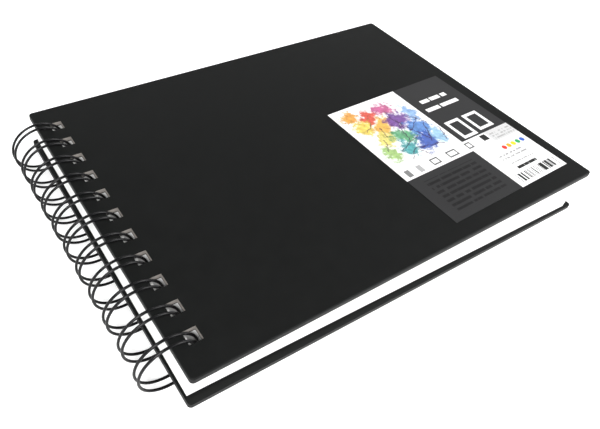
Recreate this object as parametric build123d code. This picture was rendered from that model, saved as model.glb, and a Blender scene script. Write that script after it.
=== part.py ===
from build123d import *
from build123d.topology import SkipClean
import math
import os

# Landscape A5 sketchbook, 15 x 21 cm sheets, bound on the short side with twin-loop wire.
# Frame: +X from the spine to the fore edge, +Y along the spine, +Z up through the closed book.
# The origin is under the middle of the bounding box, at the level of the lowest wire.
# Every leaf turns about the axis of the loops, so shapes are drawn about that axis first.

# ---- twin-loop wire (1 inch, 2:1 pitch) ----
WIRE_D = 1.1          # wire diameter
LOOP_R = 12.1         # radius of the loops to the middle of the wire
LOOPS = 11            # number of twin loops
PITCH = 12.7          # distance from one twin loop to the next
LOOP_GAP = 3.3        # distance between the two wires of one loop
BEND_R = 1.0          # bend from a loop into the straight link beside it
SEAM_ANGLE = -22.3    # where the loops start, in degrees above +X
TIP_ANGLE = -42.0     # where the rounded tips start, one turn further

# ---- covers ----
COVER_L = 216.0       # spine edge to fore edge
COVER_W = 156.0       # along the spine
WRAP_T = 0.3          # black covering
BOARD_T = 1.85        # grey board
COVER_T = 2.6         # wrap, board, turned-in wrap and liner
TURN_IN = 15.0        # width of the wrap turned in around the board
LINER_INSET = 3.0     # liner edge to cover edge
EDGE_R = 0.6          # rounding of the wrapped edges
CORNER_R = 1.6        # rounding of the cover corners in plan
COVER_HOLE = 5.7      # spine edge to the holes of a cover

# ---- sheets ----
SHEETS = 40
SHEET_L = 210.0
SHEET_W = 150.0
SHEET_T = 0.285
SHEET_PITCH = 0.3     # thickness plus the air between two sheets
SHEET_HOLE = 6.5      # spine edge to the holes of a sheet
SKEW = -0.5           # the block sits slightly askew in the play of its holes

# ---- punched holes ----
HOLE_X = 5.6
HOLE_Y = 5.8

# ---- levels, measured from the axis of the loops ----
BACK_OUT = -8.8       # outer face of the back cover
BLOCK_BOTTOM = -4.85  # underside of the last sheet, above the closed seam of the wire
FRONT_IN = 7.2        # inner face of the front cover
SPINE_X = 0.3         # spine edge of the covers, so that they clear each other laid open flat
SHEET_HOLE_X = 8.05   # near side of the holes in the sheets
FAN_LOW = -0.3        # the last sheet droops onto the back cover, in degrees
FAN_HIGH = 1.5        # the springy block holds the front cover up by this much

# ---- printed label on the front cover ----
LABEL_L = 79.0        # along X
LABEL_W = 84.0        # along Y
LABEL_T = 0.12
LABEL_X = 169.3       # middle of the label, from the spine edge
LABEL_Y = -27.4
LABEL_TURN = 1.4      # the label is stuck on slightly turned

# ---- place of the loop axis in the frame ----
WIRE_R = WIRE_D / 2
AXIS_X = -(SPINE_X + COVER_L - LOOP_R - WIRE_R) / 2
AXIS_Z = LOOP_R + WIRE_R
HOLE_YS = [PITCH * (i - (LOOPS - 1) / 2) for i in range(LOOPS)]

# The wires pass under the back cover up to here. Beyond it the outer face is free to rest on.
REST_X = 16.0


def to_frame(shape, angle=0.0):
    # turns a shape about the loop axis, fore edge up, and moves it into the frame
    return Pos(AXIS_X, 0, AXIS_Z) * Rot(0, -angle, 0) * shape


def plate(x0, x1, width, za, zb):
    # a flat plate between two levels, centred on Y
    low, high = min(za, zb), max(za, zb)
    return Pos((x0 + x1) / 2, 0, (low + high) / 2) * Box(x1 - x0, width, high - low)


def hole_row(x0, za, zb):
    # the punches for the row of rectangular holes, longer than the stack they go through
    depth = abs(zb - za) + 2
    at = Pos(x0 + HOLE_X / 2, 0, (za + zb) / 2)
    return [at * Pos(0, y, 0) * Box(HOLE_X, HOLE_Y, depth) for y in HOLE_YS]


# ---------------------------------------------------------------- wire
# One continuous wire: up one side of a loop, around its rounded tip, back down the other side,
# then along a short straight link to the next loop. Closed, the tips lie against the links,
# between the last sheet and the back cover.
def on_loop(angle, y, ahead=0.0):
    # a point on the loop cylinder, moved along the tangent by "ahead"
    a = math.radians(angle)
    x = LOOP_R * math.cos(a) - ahead * math.sin(a)
    z = LOOP_R * math.sin(a) + ahead * math.cos(a)
    return Vector(x, y, z)


def leg(y):
    # most of a turn, from the seam up through the sheets and around to the tip
    middle = SEAM_ANGLE + (360.0 + TIP_ANGLE - SEAM_ANGLE) / 2
    return ThreePointArc(on_loop(SEAM_ANGLE, y), on_loop(middle, y), on_loop(TIP_ANGLE, y))


def tip(y):
    # the rounded end that joins the two wires of a loop
    r = LOOP_GAP / 2
    return ThreePointArc(on_loop(TIP_ANGLE, y - r), on_loop(TIP_ANGLE, y, r), on_loop(TIP_ANGLE, y + r))


def bend(y, side):
    # quarter bend from the straight link on one side into a leg
    c = math.sqrt(0.5)
    return ThreePointArc(
        on_loop(SEAM_ANGLE, y + side * BEND_R, -BEND_R),
        on_loop(SEAM_ANGLE, y + side * BEND_R * (1 - c), -BEND_R * c),
        on_loop(SEAM_ANGLE, y),
    )


edges = []
for i, y in enumerate(HOLE_YS):
    low = y - LOOP_GAP / 2
    high = y + LOOP_GAP / 2
    if i > 0:
        previous = HOLE_YS[i - 1] + LOOP_GAP / 2
        start = on_loop(SEAM_ANGLE, previous + BEND_R, -BEND_R)
        end = on_loop(SEAM_ANGLE, low - BEND_R, -BEND_R)
        edges.append(Line(start, end))
        edges.append(bend(low, -1))
    edges.append(leg(low))
    edges.append(tip(y))
    edges.append(leg(high))
    if i < LOOPS - 1:
        edges.append(bend(high, 1))

path = Wire(edges)
section = Plane(origin=path @ 0, z_dir=path % 0) * Circle(WIRE_R)
wire = to_frame(sweep(section, path=path))


# ---------------------------------------------------------------- covers
# Black covering around a grey board, turned in along the edges, with a liner inside.
def cover(outer, inner, free_face):
    up = 1 if outer > inner else -1
    x0 = SPINE_X
    x1 = SPINE_X + COVER_L
    board_out = outer - up * WRAP_T
    board_in = board_out - up * BOARD_T
    turned = board_in - up * WRAP_T
    punches = hole_row(x0 + COVER_HOLE, outer, inner)

    board = plate(x0 + WRAP_T, x1 - WRAP_T, COVER_W - 2 * WRAP_T, board_out, board_in)
    board = fillet(board.edges().filter_by(Axis.Z), CORNER_R - WRAP_T)

    wrap = plate(x0, x1, COVER_W, outer, turned)
    wrap = fillet(wrap.edges().filter_by(Axis.Z), CORNER_R)
    outer_face = wrap.faces().filter_by(Axis.Z).sort_by(Axis.Z)[-1 if up > 0 else 0]
    wrap = fillet(outer_face.edges(), EDGE_R)
    window = plate(x0 + TURN_IN, x1 - TURN_IN, COVER_W - 2 * TURN_IN, board_in, turned)
    wrap = wrap - board - window - punches
    if free_face:
        # the outer face is divided where the wires no longer pass under it
        knife = Plane(origin=(x0 + REST_X, 0, 0), z_dir=(1, 0, 0))
        spine_side = split(wrap, bisect_by=knife, keep=Keep.BOTTOM)
        fore_side = split(wrap, bisect_by=knife, keep=Keep.TOP)
        with SkipClean():
            wrap = spine_side + fore_side

    liner = plate(x0 + LINER_INSET, x1 - LINER_INSET, COVER_W - 2 * LINER_INSET, turned, inner)
    liner = liner + window - punches
    return wrap, board - punches, liner


front_wrap, front_board, front_liner = cover(FRONT_IN + COVER_T, FRONT_IN, False)
back_wrap, back_board, back_liner = cover(BACK_OUT, BACK_OUT + COVER_T, True)

# ---------------------------------------------------------------- sheets
# One punched sheet, drawn with the middle of its row of holes at the origin.
blank = Pos(SHEET_L / 2 - SHEET_HOLE - HOLE_X / 2, 0, SHEET_T / 2) * Box(SHEET_L, SHEET_W, SHEET_T)
blank = blank - hole_row(-HOLE_X / 2, 0, SHEET_T)

sheets = []
for k in range(SHEETS):
    # k = 0 is the first sheet, under the front cover
    from_last = SHEETS - 1 - k
    level = BLOCK_BOTTOM + SHEET_PITCH * from_last
    angle = FAN_LOW + (FAN_HIGH - FAN_LOW) * from_last / SHEETS
    placed = Pos(SHEET_HOLE_X + HOLE_X / 2, 0, level) * Rot(0, 0, SKEW) * blank
    sheets.append(to_frame(placed, angle))

# ---------------------------------------------------------------- label
top = FRONT_IN + COVER_T
label_at = Pos(SPINE_X + LABEL_X, LABEL_Y, top + LABEL_T / 2) * Rot(0, 0, LABEL_TURN)
label = label_at * Box(LABEL_L, LABEL_W, LABEL_T)

parts = {
    "wire": wire,
    "front_wrap": to_frame(front_wrap, FAN_HIGH),
    "front_board": to_frame(front_board, FAN_HIGH),
    "front_liner": to_frame(front_liner, FAN_HIGH),
    "label": to_frame(label, FAN_HIGH),
    "back_wrap": to_frame(back_wrap),
    "back_board": to_frame(back_board),
    "back_liner": to_frame(back_liner),
}
for k, sheet in enumerate(sheets):
    parts["sheet_%02d" % (k + 1)] = sheet

os.makedirs("parts", exist_ok=True)
for name, shape in parts.items():
    export_step(shape, "parts/" + name + ".step")
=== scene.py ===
import math

import bpy
from mathutils import Matrix, Vector


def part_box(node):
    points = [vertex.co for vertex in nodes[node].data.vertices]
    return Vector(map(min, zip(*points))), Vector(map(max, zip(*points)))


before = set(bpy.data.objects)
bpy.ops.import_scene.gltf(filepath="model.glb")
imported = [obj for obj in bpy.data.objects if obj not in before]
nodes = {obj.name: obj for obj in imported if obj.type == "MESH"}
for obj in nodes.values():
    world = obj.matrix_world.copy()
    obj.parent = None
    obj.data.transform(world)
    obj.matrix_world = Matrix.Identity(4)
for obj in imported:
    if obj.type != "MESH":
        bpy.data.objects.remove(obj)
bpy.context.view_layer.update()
scene = bpy.context.scene

MM = 0.001
SHEET_NODES = sorted(name for name in nodes if name.startswith("sheet_"))

# ---- sizes of the book, in metres, as the CAD has them ----
WIRE_R = 0.55 * MM
LOOP_R = 12.1 * MM
BACK_LOW, BACK_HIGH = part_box("back_wrap")
WIRE_LOW, WIRE_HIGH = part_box("wire")
LABEL_LOW, LABEL_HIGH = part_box("label")
LABEL_MID = (LABEL_LOW + LABEL_HIGH) / 2
LABEL_TURN = math.radians(1.4)
AXIS_X = WIRE_LOW.x + LOOP_R + WIRE_R
AXIS_Z = WIRE_LOW.z + LOOP_R + WIRE_R


# ---------------------------------------------------------------- camera
# Seen from above the near corner of the spine, rolled a little, with the view slid to frame the book.
AZIMUTH = math.radians(-37.73)
ELEVATION = math.radians(41.05)
ROLL = math.radians(8.0)
TARGET = Vector((-35.8, -0.97, 22.45)) * MM
DISTANCE = 268.1 * MM
LENS = 36.58
SHIFT = (0.1054, -0.0671)


def make_camera():
    back = Vector((
        math.sin(AZIMUTH) * math.cos(ELEVATION),
        -math.cos(AZIMUTH) * math.cos(ELEVATION),
        math.sin(ELEVATION),
    ))
    level = Vector((0, 0, 1)).cross(back).normalized()
    up = back.cross(level)
    right = math.cos(ROLL) * level + math.sin(ROLL) * up
    top = back.cross(right)
    data = bpy.data.cameras.new("camera")
    data.sensor_fit = "HORIZONTAL"
    data.sensor_width = 36.0
    data.lens = LENS
    data.shift_x, data.shift_y = SHIFT
    data.clip_start = 0.01
    camera = bpy.data.objects.new("camera", data)
    scene.collection.objects.link(camera)
    place = Matrix((right, top, back)).transposed().to_4x4()
    place.translation = TARGET + back * DISTANCE
    camera.matrix_world = place
    scene.camera = camera


make_camera()


# ---------------------------------------------------------------- node helpers
def shader(name, colour, roughness, **values):
    # a Principled material with its constant values set on the shader's own sockets
    material = bpy.data.materials.new(name)
    material.use_nodes = True
    surface = material.node_tree.nodes["Principled BSDF"]
    surface.inputs["Base Color"].default_value = (*colour, 1)
    surface.inputs["Roughness"].default_value = roughness
    for key, value in values.items():
        surface.inputs[key.replace("_", " ")].default_value = value
    return material, material.node_tree, surface


def add(tree, kind, inputs=None, **settings):
    # adds a node; an input is a value or the socket that feeds it
    made = tree.nodes.new(kind)
    for key, value in settings.items():
        setattr(made, key, value)
    for key, value in (inputs or {}).items():
        if isinstance(value, bpy.types.NodeSocket):
            tree.links.new(value, made.inputs[key])
        else:
            made.inputs[key].default_value = value
    return made


def calc(tree, operation, a, b=0.0, c=0.0):
    return add(tree, "ShaderNodeMath", {0: a, 1: b, 2: c}, operation=operation).outputs[0]


def mix(tree, factor, a, b):
    made = add(tree, "ShaderNodeMix", data_type="RGBA")
    for socket, value in ((made.inputs[0], factor), (made.inputs[6], a), (made.inputs[7], b)):
        if isinstance(value, bpy.types.NodeSocket):
            tree.links.new(value, socket)
        elif isinstance(value, tuple):
            socket.default_value = (*value, 1)
        else:
            socket.default_value = value
    return made.outputs[2]


def noise(tree, where, scale, detail=2.0, roughness=0.5):
    inputs = {"Vector": where, "Scale": scale, "Detail": detail, "Roughness": roughness}
    return add(tree, "ShaderNodeTexNoise", inputs).outputs[0]


def spread(tree, value, low, high, to_low=0.0, to_high=1.0):
    inputs = {0: value, 1: low, 2: high, 3: to_low, 4: to_high}
    return add(tree, "ShaderNodeMapRange", inputs).outputs[0]


def bump(tree, surface, height, distance, strength=1.0):
    made = add(tree, "ShaderNodeBump", {"Height": height, "Distance": distance, "Strength": strength})
    tree.links.new(made.outputs[0], surface.inputs["Normal"])


def object_place(tree):
    return add(tree, "ShaderNodeTexCoord").outputs["Object"]


def give(piece, material):
    piece.data.materials.clear()
    piece.data.materials.append(material)


# ---------------------------------------------------------------- materials
def cover_material():
    # black embossed covering paper: a fine leather grain, satin, faintly mottled
    material, tree, surface = shader("cover_black", (0.007, 0.0075, 0.0073), 0.5, Specular_IOR_Level=0.13)
    place = object_place(tree)
    cells = add(tree, "ShaderNodeTexVoronoi", {"Vector": place, "Scale": 1900.0}, feature="F1").outputs[0]
    grain = calc(tree, "ADD", cells, noise(tree, place, 2600.0, 3.0))
    bump(tree, surface, grain, 0.00003, 0.35)
    mottle = noise(tree, place, 160.0, 5.0)
    tree.links.new(spread(tree, mottle, 0.3, 0.7, 0.49, 0.53), surface.inputs["Roughness"])
    colour = mix(tree, mottle, (0.0055, 0.006, 0.0058), (0.0085, 0.009, 0.0088))
    tree.links.new(colour, surface.inputs["Base Color"])
    return material


def liner_material():
    material, tree, surface = shader("liner_black", (0.009, 0.009, 0.0095), 0.75, Specular_IOR_Level=0.1)
    place = object_place(tree)
    fibres = noise(tree, place, 900.0, 5.0, 0.7)
    bump(tree, surface, fibres, 0.00004, 0.4)
    colour = mix(tree, fibres, (0.006, 0.006, 0.0065), (0.012, 0.012, 0.0125))
    tree.links.new(colour, surface.inputs["Base Color"])
    return material


def board_material():
    # cut edge of the grey board: pale, fibrous, in layers
    material, tree, surface = shader("board", (0.6, 0.58, 0.54), 0.9)
    place = object_place(tree)
    split = add(tree, "ShaderNodeMapping", {"Vector": place, "Scale": (1.0, 1.0, 6.0)}).outputs[0]
    fibres = noise(tree, split, 700.0, 6.0, 0.7)
    bump(tree, surface, fibres, 0.0001, 0.5)
    colour = mix(tree, fibres, (0.16, 0.145, 0.13), (0.42, 0.39, 0.36))
    tree.links.new(colour, surface.inputs["Base Color"])
    return material


def paper_material():
    # white uncoated drawing paper with a light tooth
    material, tree, surface = shader("paper", (0.83, 0.83, 0.82), 0.85)
    place = object_place(tree)
    tooth = noise(tree, place, 1400.0, 5.0, 0.65)
    bump(tree, surface, tooth, 0.00003, 0.5)
    cloud = noise(tree, place, 60.0, 3.0)
    colour = mix(tree, cloud, (0.80, 0.80, 0.79), (0.86, 0.86, 0.852))
    tree.links.new(colour, surface.inputs["Base Color"])
    return material


def wire_material():
    # steel wire with a glossy black nylon coat
    material, tree, surface = shader("wire", (0.006, 0.006, 0.0065), 0.2, Specular_IOR_Level=0.22)
    place = object_place(tree)
    ripple = noise(tree, place, 500.0, 2.0)
    bump(tree, surface, ripple, 0.00002, 0.3)
    tree.links.new(spread(tree, ripple, 0.3, 0.7, 0.16, 0.3), surface.inputs["Roughness"])
    return material


def length_of(tree, x, y):
    squares = calc(tree, "ADD", calc(tree, "MULTIPLY", x, x), calc(tree, "MULTIPLY", y, y))
    return calc(tree, "SQRT", squares)


def rectangle(tree, x, y, low_x, high_x, low_y, high_y):
    # 1 inside an upright rectangle, 0 outside
    along = calc(tree, "COMPARE", x, (low_x + high_x) / 2, (high_x - low_x) / 2)
    across = calc(tree, "COMPARE", y, (low_y + high_y) / 2, (high_y - low_y) / 2)
    return calc(tree, "MULTIPLY", along, across)


# how far apart two rows of marks are read from the noise, so that no two are alike
ROW_STEP = 7.31


def line_rows(tree, x, y, row, word, fill):
    # rows of short marks of uneven length, as print looks when it is too small to read
    # row is the distance from one row to the next and word the scale of a mark, in mm;
    # a mark is drawn where the noise is above fill
    row_at = calc(tree, "DIVIDE", y, row)
    in_row = calc(tree, "LESS_THAN", calc(tree, "FRACT", calc(tree, "ADD", row_at, 100.0)), 0.5)
    number = calc(tree, "FLOOR", row_at)
    along = calc(tree, "DIVIDE", x, word)
    across = calc(tree, "MULTIPLY", number, ROW_STEP)
    where = add(tree, "ShaderNodeCombineXYZ", {0: along, 1: across})
    marks = noise(tree, where.outputs[0], 1.0, 2.0)
    return calc(tree, "MULTIPLY", in_row, calc(tree, "GREATER_THAN", marks, fill))


def words(tree, x, y, word, fill):
    # such marks without the rows, for a strip that is one row high
    along = calc(tree, "DIVIDE", x, word)
    where = add(tree, "ShaderNodeCombineXYZ", {0: along, 1: calc(tree, "FLOOR", y)})
    return calc(tree, "GREATER_THAN", noise(tree, where.outputs[0], 1.0, 2.0), fill)


# daubs of the abstract picture: middle x, y and half sizes in mm, turn in degrees, colour
DAUBS = (
    (-32, 35, 5, 4, 25, (0.9, 0.4, 0.06)),
    (-23, 31, 7, 4, 30, (0.75, 0.09, 0.05)),
    (-31, 25, 5, 5, 0, (0.92, 0.68, 0.12)),
    (-11, 33, 6, 4, -15, (0.6, 0.12, 0.3)),
    (-20, 22, 8, 5, 40, (0.92, 0.5, 0.08)),
    (-10, 22, 6, 6, 20, (0.2, 0.07, 0.35)),
    (-26, 13, 6, 5, 35, (0.85, 0.74, 0.2)),
    (-15, 11, 8, 5, -10, (0.12, 0.42, 0.2)),
    (-4, 13, 6, 6, 30, (0.12, 0.3, 0.72)),
    (-21, 3, 6, 4, 20, (0.07, 0.4, 0.42)),
    (-9, 3, 8, 4, 40, (0.05, 0.12, 0.5)),
    (0, 24, 4, 6, 0, (0.3, 0.5, 0.85)),
    (0, 4, 4, 6, -20, (0.35, 0.6, 0.85)),
    (-32, 4, 4, 5, 0, (0.4, 0.62, 0.2)),
)

# colours of the row of paint dots
PAINT_DOTS = (
    (0.75, 0.05, 0.03), (0.9, 0.4, 0.02), (0.8, 0.65, 0.03), (0.03, 0.35, 0.1), (0.04, 0.12, 0.5),
)

# loose dark strokes over the daubs: middle x and y, length in mm, turn in degrees
STROKES = (
    (-14, 14, 16, 70), (-8, 10, 14, 105), (-18, 6, 18, 20), (-3, 8, 15, 60), (-10, 0, 17, -15),
    (-24, 18, 7, 80), (-30, 10, 9, 60), (0, 18, 10, 120), (-22, -1, 9, 35), (-12, 22, 12, 95),
    (3, 4, 11, 70), (-5, 16, 12, 30), (-16, -3, 8, 110), (-27, 24, 8, 30),
)


# how far the noise moves the edge of a daub and the line of a stroke, in mm
TEAR = 8.0
SWAY = 3.0
HALF_STROKE = 0.28


def daub_picture(tree, x, y, place):
    # overlapping transparent daubs with torn edges on white
    tearing = {"Vector": place, "Scale": 170.0, "Detail": 6.0, "Roughness": 0.75}
    torn = add(tree, "ShaderNodeTexNoise", tearing)
    shift = add(tree, "ShaderNodeSeparateColor", {0: torn.outputs["Color"]})
    px = calc(tree, "ADD", x, calc(tree, "MULTIPLY_ADD", shift.outputs[0], 2 * TEAR, -TEAR))
    py = calc(tree, "ADD", y, calc(tree, "MULTIPLY_ADD", shift.outputs[1], 2 * TEAR, -TEAR))
    wash = noise(tree, place, 420.0, 4.0, 0.7)
    colour = (0.93, 0.93, 0.93)
    for mid_x, mid_y, half_x, half_y, turn, tint in DAUBS:
        c, s = math.cos(math.radians(turn)), math.sin(math.radians(turn))
        dx = calc(tree, "SUBTRACT", px, mid_x)
        dy = calc(tree, "SUBTRACT", py, mid_y)
        u = calc(tree, "MULTIPLY_ADD", dx, c / half_x, calc(tree, "MULTIPLY", dy, s / half_x))
        v = calc(tree, "MULTIPLY_ADD", dx, -s / half_y, calc(tree, "MULTIPLY", dy, c / half_y))
        away = length_of(tree, u, v)
        away = calc(tree, "ADD", away, calc(tree, "MULTIPLY_ADD", wash, 1.6, -0.8))
        deep = tuple(0.55 * value for value in tint)
        painted = mix(tree, spread(tree, wash, 0.35, 0.65), deep, tint)
        colour = mix(tree, spread(tree, away, 1.25, 0.8, 0.0, 0.95), colour, painted)
    for mid_x, mid_y, length, turn in STROKES:
        c, s = math.cos(math.radians(turn)), math.sin(math.radians(turn))
        sway_x = calc(tree, "MULTIPLY_ADD", shift.outputs[1], 2 * SWAY, -SWAY - mid_x)
        dx = calc(tree, "ADD", x, sway_x)
        sway_y = calc(tree, "MULTIPLY_ADD", shift.outputs[0], 2 * SWAY, -SWAY - mid_y)
        dy = calc(tree, "ADD", y, sway_y)
        u = calc(tree, "MULTIPLY_ADD", dx, c, calc(tree, "MULTIPLY", dy, s))
        v = calc(tree, "MULTIPLY_ADD", dx, -s, calc(tree, "MULTIPLY", dy, c))
        inside = rectangle(tree, u, v, -length / 2, length / 2, -HALF_STROKE, HALF_STROKE)
        colour = mix(tree, calc(tree, "MULTIPLY", inside, 0.8), colour, (0.05, 0.02, 0.06))
    return colour


def label_material():
    # printed label: picture, dark panels, a white strip with small marks, a white box with bars
    material, tree, surface = shader("label", (0.9, 0.9, 0.9), 0.4, Specular_IOR_Level=0.25)
    place = object_place(tree)
    scaled = {"Vector": place, "Scale": (1 / MM, 1 / MM, 1 / MM)}
    turn = add(tree, "ShaderNodeMapping", scaled, vector_type="POINT")
    turn.inputs["Location"].default_value = (-LABEL_MID.x / MM, -LABEL_MID.y / MM, 0)
    spun = add(tree, "ShaderNodeMapping", {"Vector": turn.outputs[0], "Rotation": (0, 0, -LABEL_TURN)})
    split = add(tree, "ShaderNodeSeparateXYZ", {0: spun.outputs[0]})
    x, y = split.outputs[0], split.outputs[1]

    white = (0.93, 0.93, 0.93)
    grey = (0.030, 0.030, 0.031)
    faint = (0.014, 0.014, 0.0145)
    ink = (0.02, 0.02, 0.02)

    def paint(colour, box, tint, also=None):
        # box: low and high x, low and high y, in mm from the middle of the label
        inside = rectangle(tree, x, y, *box)
        if also is not None:
            inside = calc(tree, "MULTIPLY", inside, also)
        return mix(tree, inside, colour, tint)

    picture = rectangle(tree, x, y, -40, 5.9, -6.1, 42.5)
    colour = mix(tree, picture, grey, daub_picture(tree, x, y, place))
    colour = paint(colour, (-40, 40, -13.3, -6.1), white)
    colour = paint(colour, (5.5, 40, -42.5, -6.1), white)

    # title bars and two page marks that stand in for the words
    bars = ((12, 18, 26), (19, 26, 26), (27.4, 31, 26), (9.5, 19, 19.2), (20.4, 33, 19.2))
    for low_x, high_x, low_y in bars:
        colour = paint(colour, (low_x, high_x, low_y, low_y + 2.6), white)
    colour = paint(colour, (9.5, 19.5, -5, 9.0), white)
    colour = paint(colour, (11.3, 17.7, -3.2, 7.2), grey)
    colour = paint(colour, (22.5, 33, -4.0, 9.0), white)
    colour = paint(colour, (24.3, 31.2, -2.2, 7.2), grey)

    # small marks on the strip
    colour = paint(colour, (-36.5, -33.5, -12.0, -7.6), (0.2, 0.2, 0.2))
    colour = paint(colour, (-29.0, -26.0, -12.0, -7.6), (0.4, 0.4, 0.4))
    for mark_x, half in ((-17, 2.6), (-5.2, 3.2), (7, 1.9)):
        colour = paint(colour, (mark_x - half, mark_x + half, -11.6, -7.4), (0.12, 0.12, 0.12))
        colour = paint(colour, (mark_x - half + 0.8, mark_x + half - 0.8, -10.8, -8.2), white)
    colour = paint(colour, (17, 21, -11.0, -7.0), ink)
    colour = paint(colour, (22, 40, -13.7, -6.2), (0.62, 0.62, 0.62))
    small_print = line_rows(tree, x, y, 1.8, 1.2, 0.5)
    colour = paint(colour, (23.5, 38.5, -12.8, -7.2), (0.4, 0.4, 0.4), small_print)

    # rows of small print on the dark panel
    colour = paint(colour, (-33, 0, -37.5, -17), faint, line_rows(tree, x, y, 2.9, 2.4, 0.4))

    # white box: a row of round paint dots, small print and bars
    for number, tint in enumerate(PAINT_DOTS):
        dx = calc(tree, "SUBTRACT", x, 22.0 + 3.4 * number)
        dy = calc(tree, "SUBTRACT", y, -19.0)
        away = length_of(tree, dx, dy)
        colour = mix(tree, calc(tree, "LESS_THAN", away, 1.4), colour, tint)
    small_print = line_rows(tree, x, y, 2.6, 1.5, 0.45)
    colour = paint(colour, (13, 31, -25.6, -22.4), (0.35, 0.35, 0.35), small_print)
    colour = paint(colour, (13.6, 31, -29.2, -28.4), (0.4, 0.4, 0.4), words(tree, x, y, 0.8, 0.45))
    colour = paint(colour, (15, 29, -33.0, -31.4), ink, words(tree, x, 0.0, 1.2, 0.4))
    bar = calc(tree, "FLOOR", calc(tree, "DIVIDE", x, 0.36))
    chance = add(tree, "ShaderNodeTexWhiteNoise", {"W": bar}, noise_dimensions="1D").outputs[0]
    colour = paint(colour, (8.6, 37.6, -40.0, -35.0), ink, calc(tree, "GREATER_THAN", chance, 0.45))

    tree.links.new(colour, surface.inputs["Base Color"])
    bump(tree, surface, noise(tree, place, 700.0, 3.0), 0.00001, 0.3)
    return material


COVER = cover_material()
LINER = liner_material()
BOARD = board_material()
PAPER = paper_material()
WIRE = wire_material()
LABEL = label_material()

for name in ("front_wrap", "back_wrap"):
    give(nodes[name], COVER)
for name in ("front_liner", "back_liner"):
    give(nodes[name], LINER)
for name in ("front_board", "back_board"):
    give(nodes[name], BOARD)
for name in SHEET_NODES:
    give(nodes[name], PAPER)
give(nodes["wire"], WIRE)
give(nodes["label"], LABEL)


# ---------------------------------------------------------------- floor and light
# The closed book leans on its loops and on the fore edge of the back cover, so the floor
# under it is tilted by that small angle against the CAD frame.
FLOOR_HALF = 6.0
WALL_RADIUS = 5.0
WALL_HEIGHT = 1.6
WALL_FOOT = -0.5
WALL_SIDES = 96


def make_floor():
    reach = BACK_HIGH.x - AXIS_X
    drop = AXIS_Z - BACK_LOW.z
    tilt = math.asin((LOOP_R + WIRE_R - drop) / reach)
    mesh = bpy.data.meshes.new("floor")
    corners = [(-FLOOR_HALF, -FLOOR_HALF, 0), (FLOOR_HALF, -FLOOR_HALF, 0)]
    corners += [(FLOOR_HALF, FLOOR_HALF, 0), (-FLOOR_HALF, FLOOR_HALF, 0)]
    mesh.from_pydata(corners, [], [(0, 1, 2, 3)])
    floor = bpy.data.objects.new("floor", mesh)
    scene.collection.objects.link(floor)
    turn = Matrix.Rotation(-tilt, 4, "Y")
    down = turn @ Vector((0, 0, -(LOOP_R + WIRE_R)))
    floor.matrix_world = Matrix.Translation(Vector((AXIS_X, 0, AXIS_Z)) + down) @ turn
    glow = {"Emission_Color": (1, 1, 1, 1), "Emission_Strength": 0.3}
    material, tree, surface = shader("floor", (0.93, 0.93, 0.93), 0.7, **glow)
    place = object_place(tree)
    colour = mix(tree, noise(tree, place, 4.0, 2.0), (0.92, 0.92, 0.92), (0.94, 0.94, 0.94))
    tree.links.new(colour, surface.inputs["Base Color"])
    floor.data.materials.append(material)


def make_backdrop():
    # a low round wall of pale light behind the floor, so that low views have no dark horizon
    ring = [2 * math.pi * i / WALL_SIDES for i in range(WALL_SIDES)]
    circle = [(WALL_RADIUS * math.cos(a), WALL_RADIUS * math.sin(a)) for a in ring]
    points = [(x, y, z) for z in (WALL_FOOT, WALL_HEIGHT) for x, y in circle]
    faces = []
    for i in range(WALL_SIDES):
        j = (i + 1) % WALL_SIDES
        faces.append((i, j, j + WALL_SIDES, i + WALL_SIDES))
    mesh = bpy.data.meshes.new("backdrop")
    mesh.from_pydata(points, [], faces)
    wall = bpy.data.objects.new("backdrop", mesh)
    scene.collection.objects.link(wall)
    glow = {"Emission_Color": (1, 1, 1, 1), "Emission_Strength": 0.8}
    material, _, _ = shader("backdrop", (0.9, 0.9, 0.9), 0.9, **glow)
    mesh.materials.append(material)


def soft_light(name, place, aim, size, power):
    data = bpy.data.lights.new(name, "AREA")
    data.shape = "SQUARE"
    data.size = size
    data.energy = power
    light = bpy.data.objects.new(name, data)
    scene.collection.objects.link(light)
    place = Vector(place)
    light.location = place
    light.rotation_euler = (Vector(aim) - place).to_track_quat("-Z", "Y").to_euler()


def make_lights():
    world = bpy.data.worlds.new("studio")
    world.use_nodes = True
    background = world.node_tree.nodes["Background"]
    background.inputs["Color"].default_value = (1, 1, 1, 1)
    background.inputs["Strength"].default_value = 0.14
    scene.world = world
    soft_light("key", (-1.3, -1.3, 1.9), (0, 0, 0), 1.3, 82.0)
    soft_light("side", (1.5, -1.0, 1.5), (0, 0, 0), 1.3, 42.0)


make_floor()
make_backdrop()
make_lights()
scene.view_settings.view_transform = "Standard"
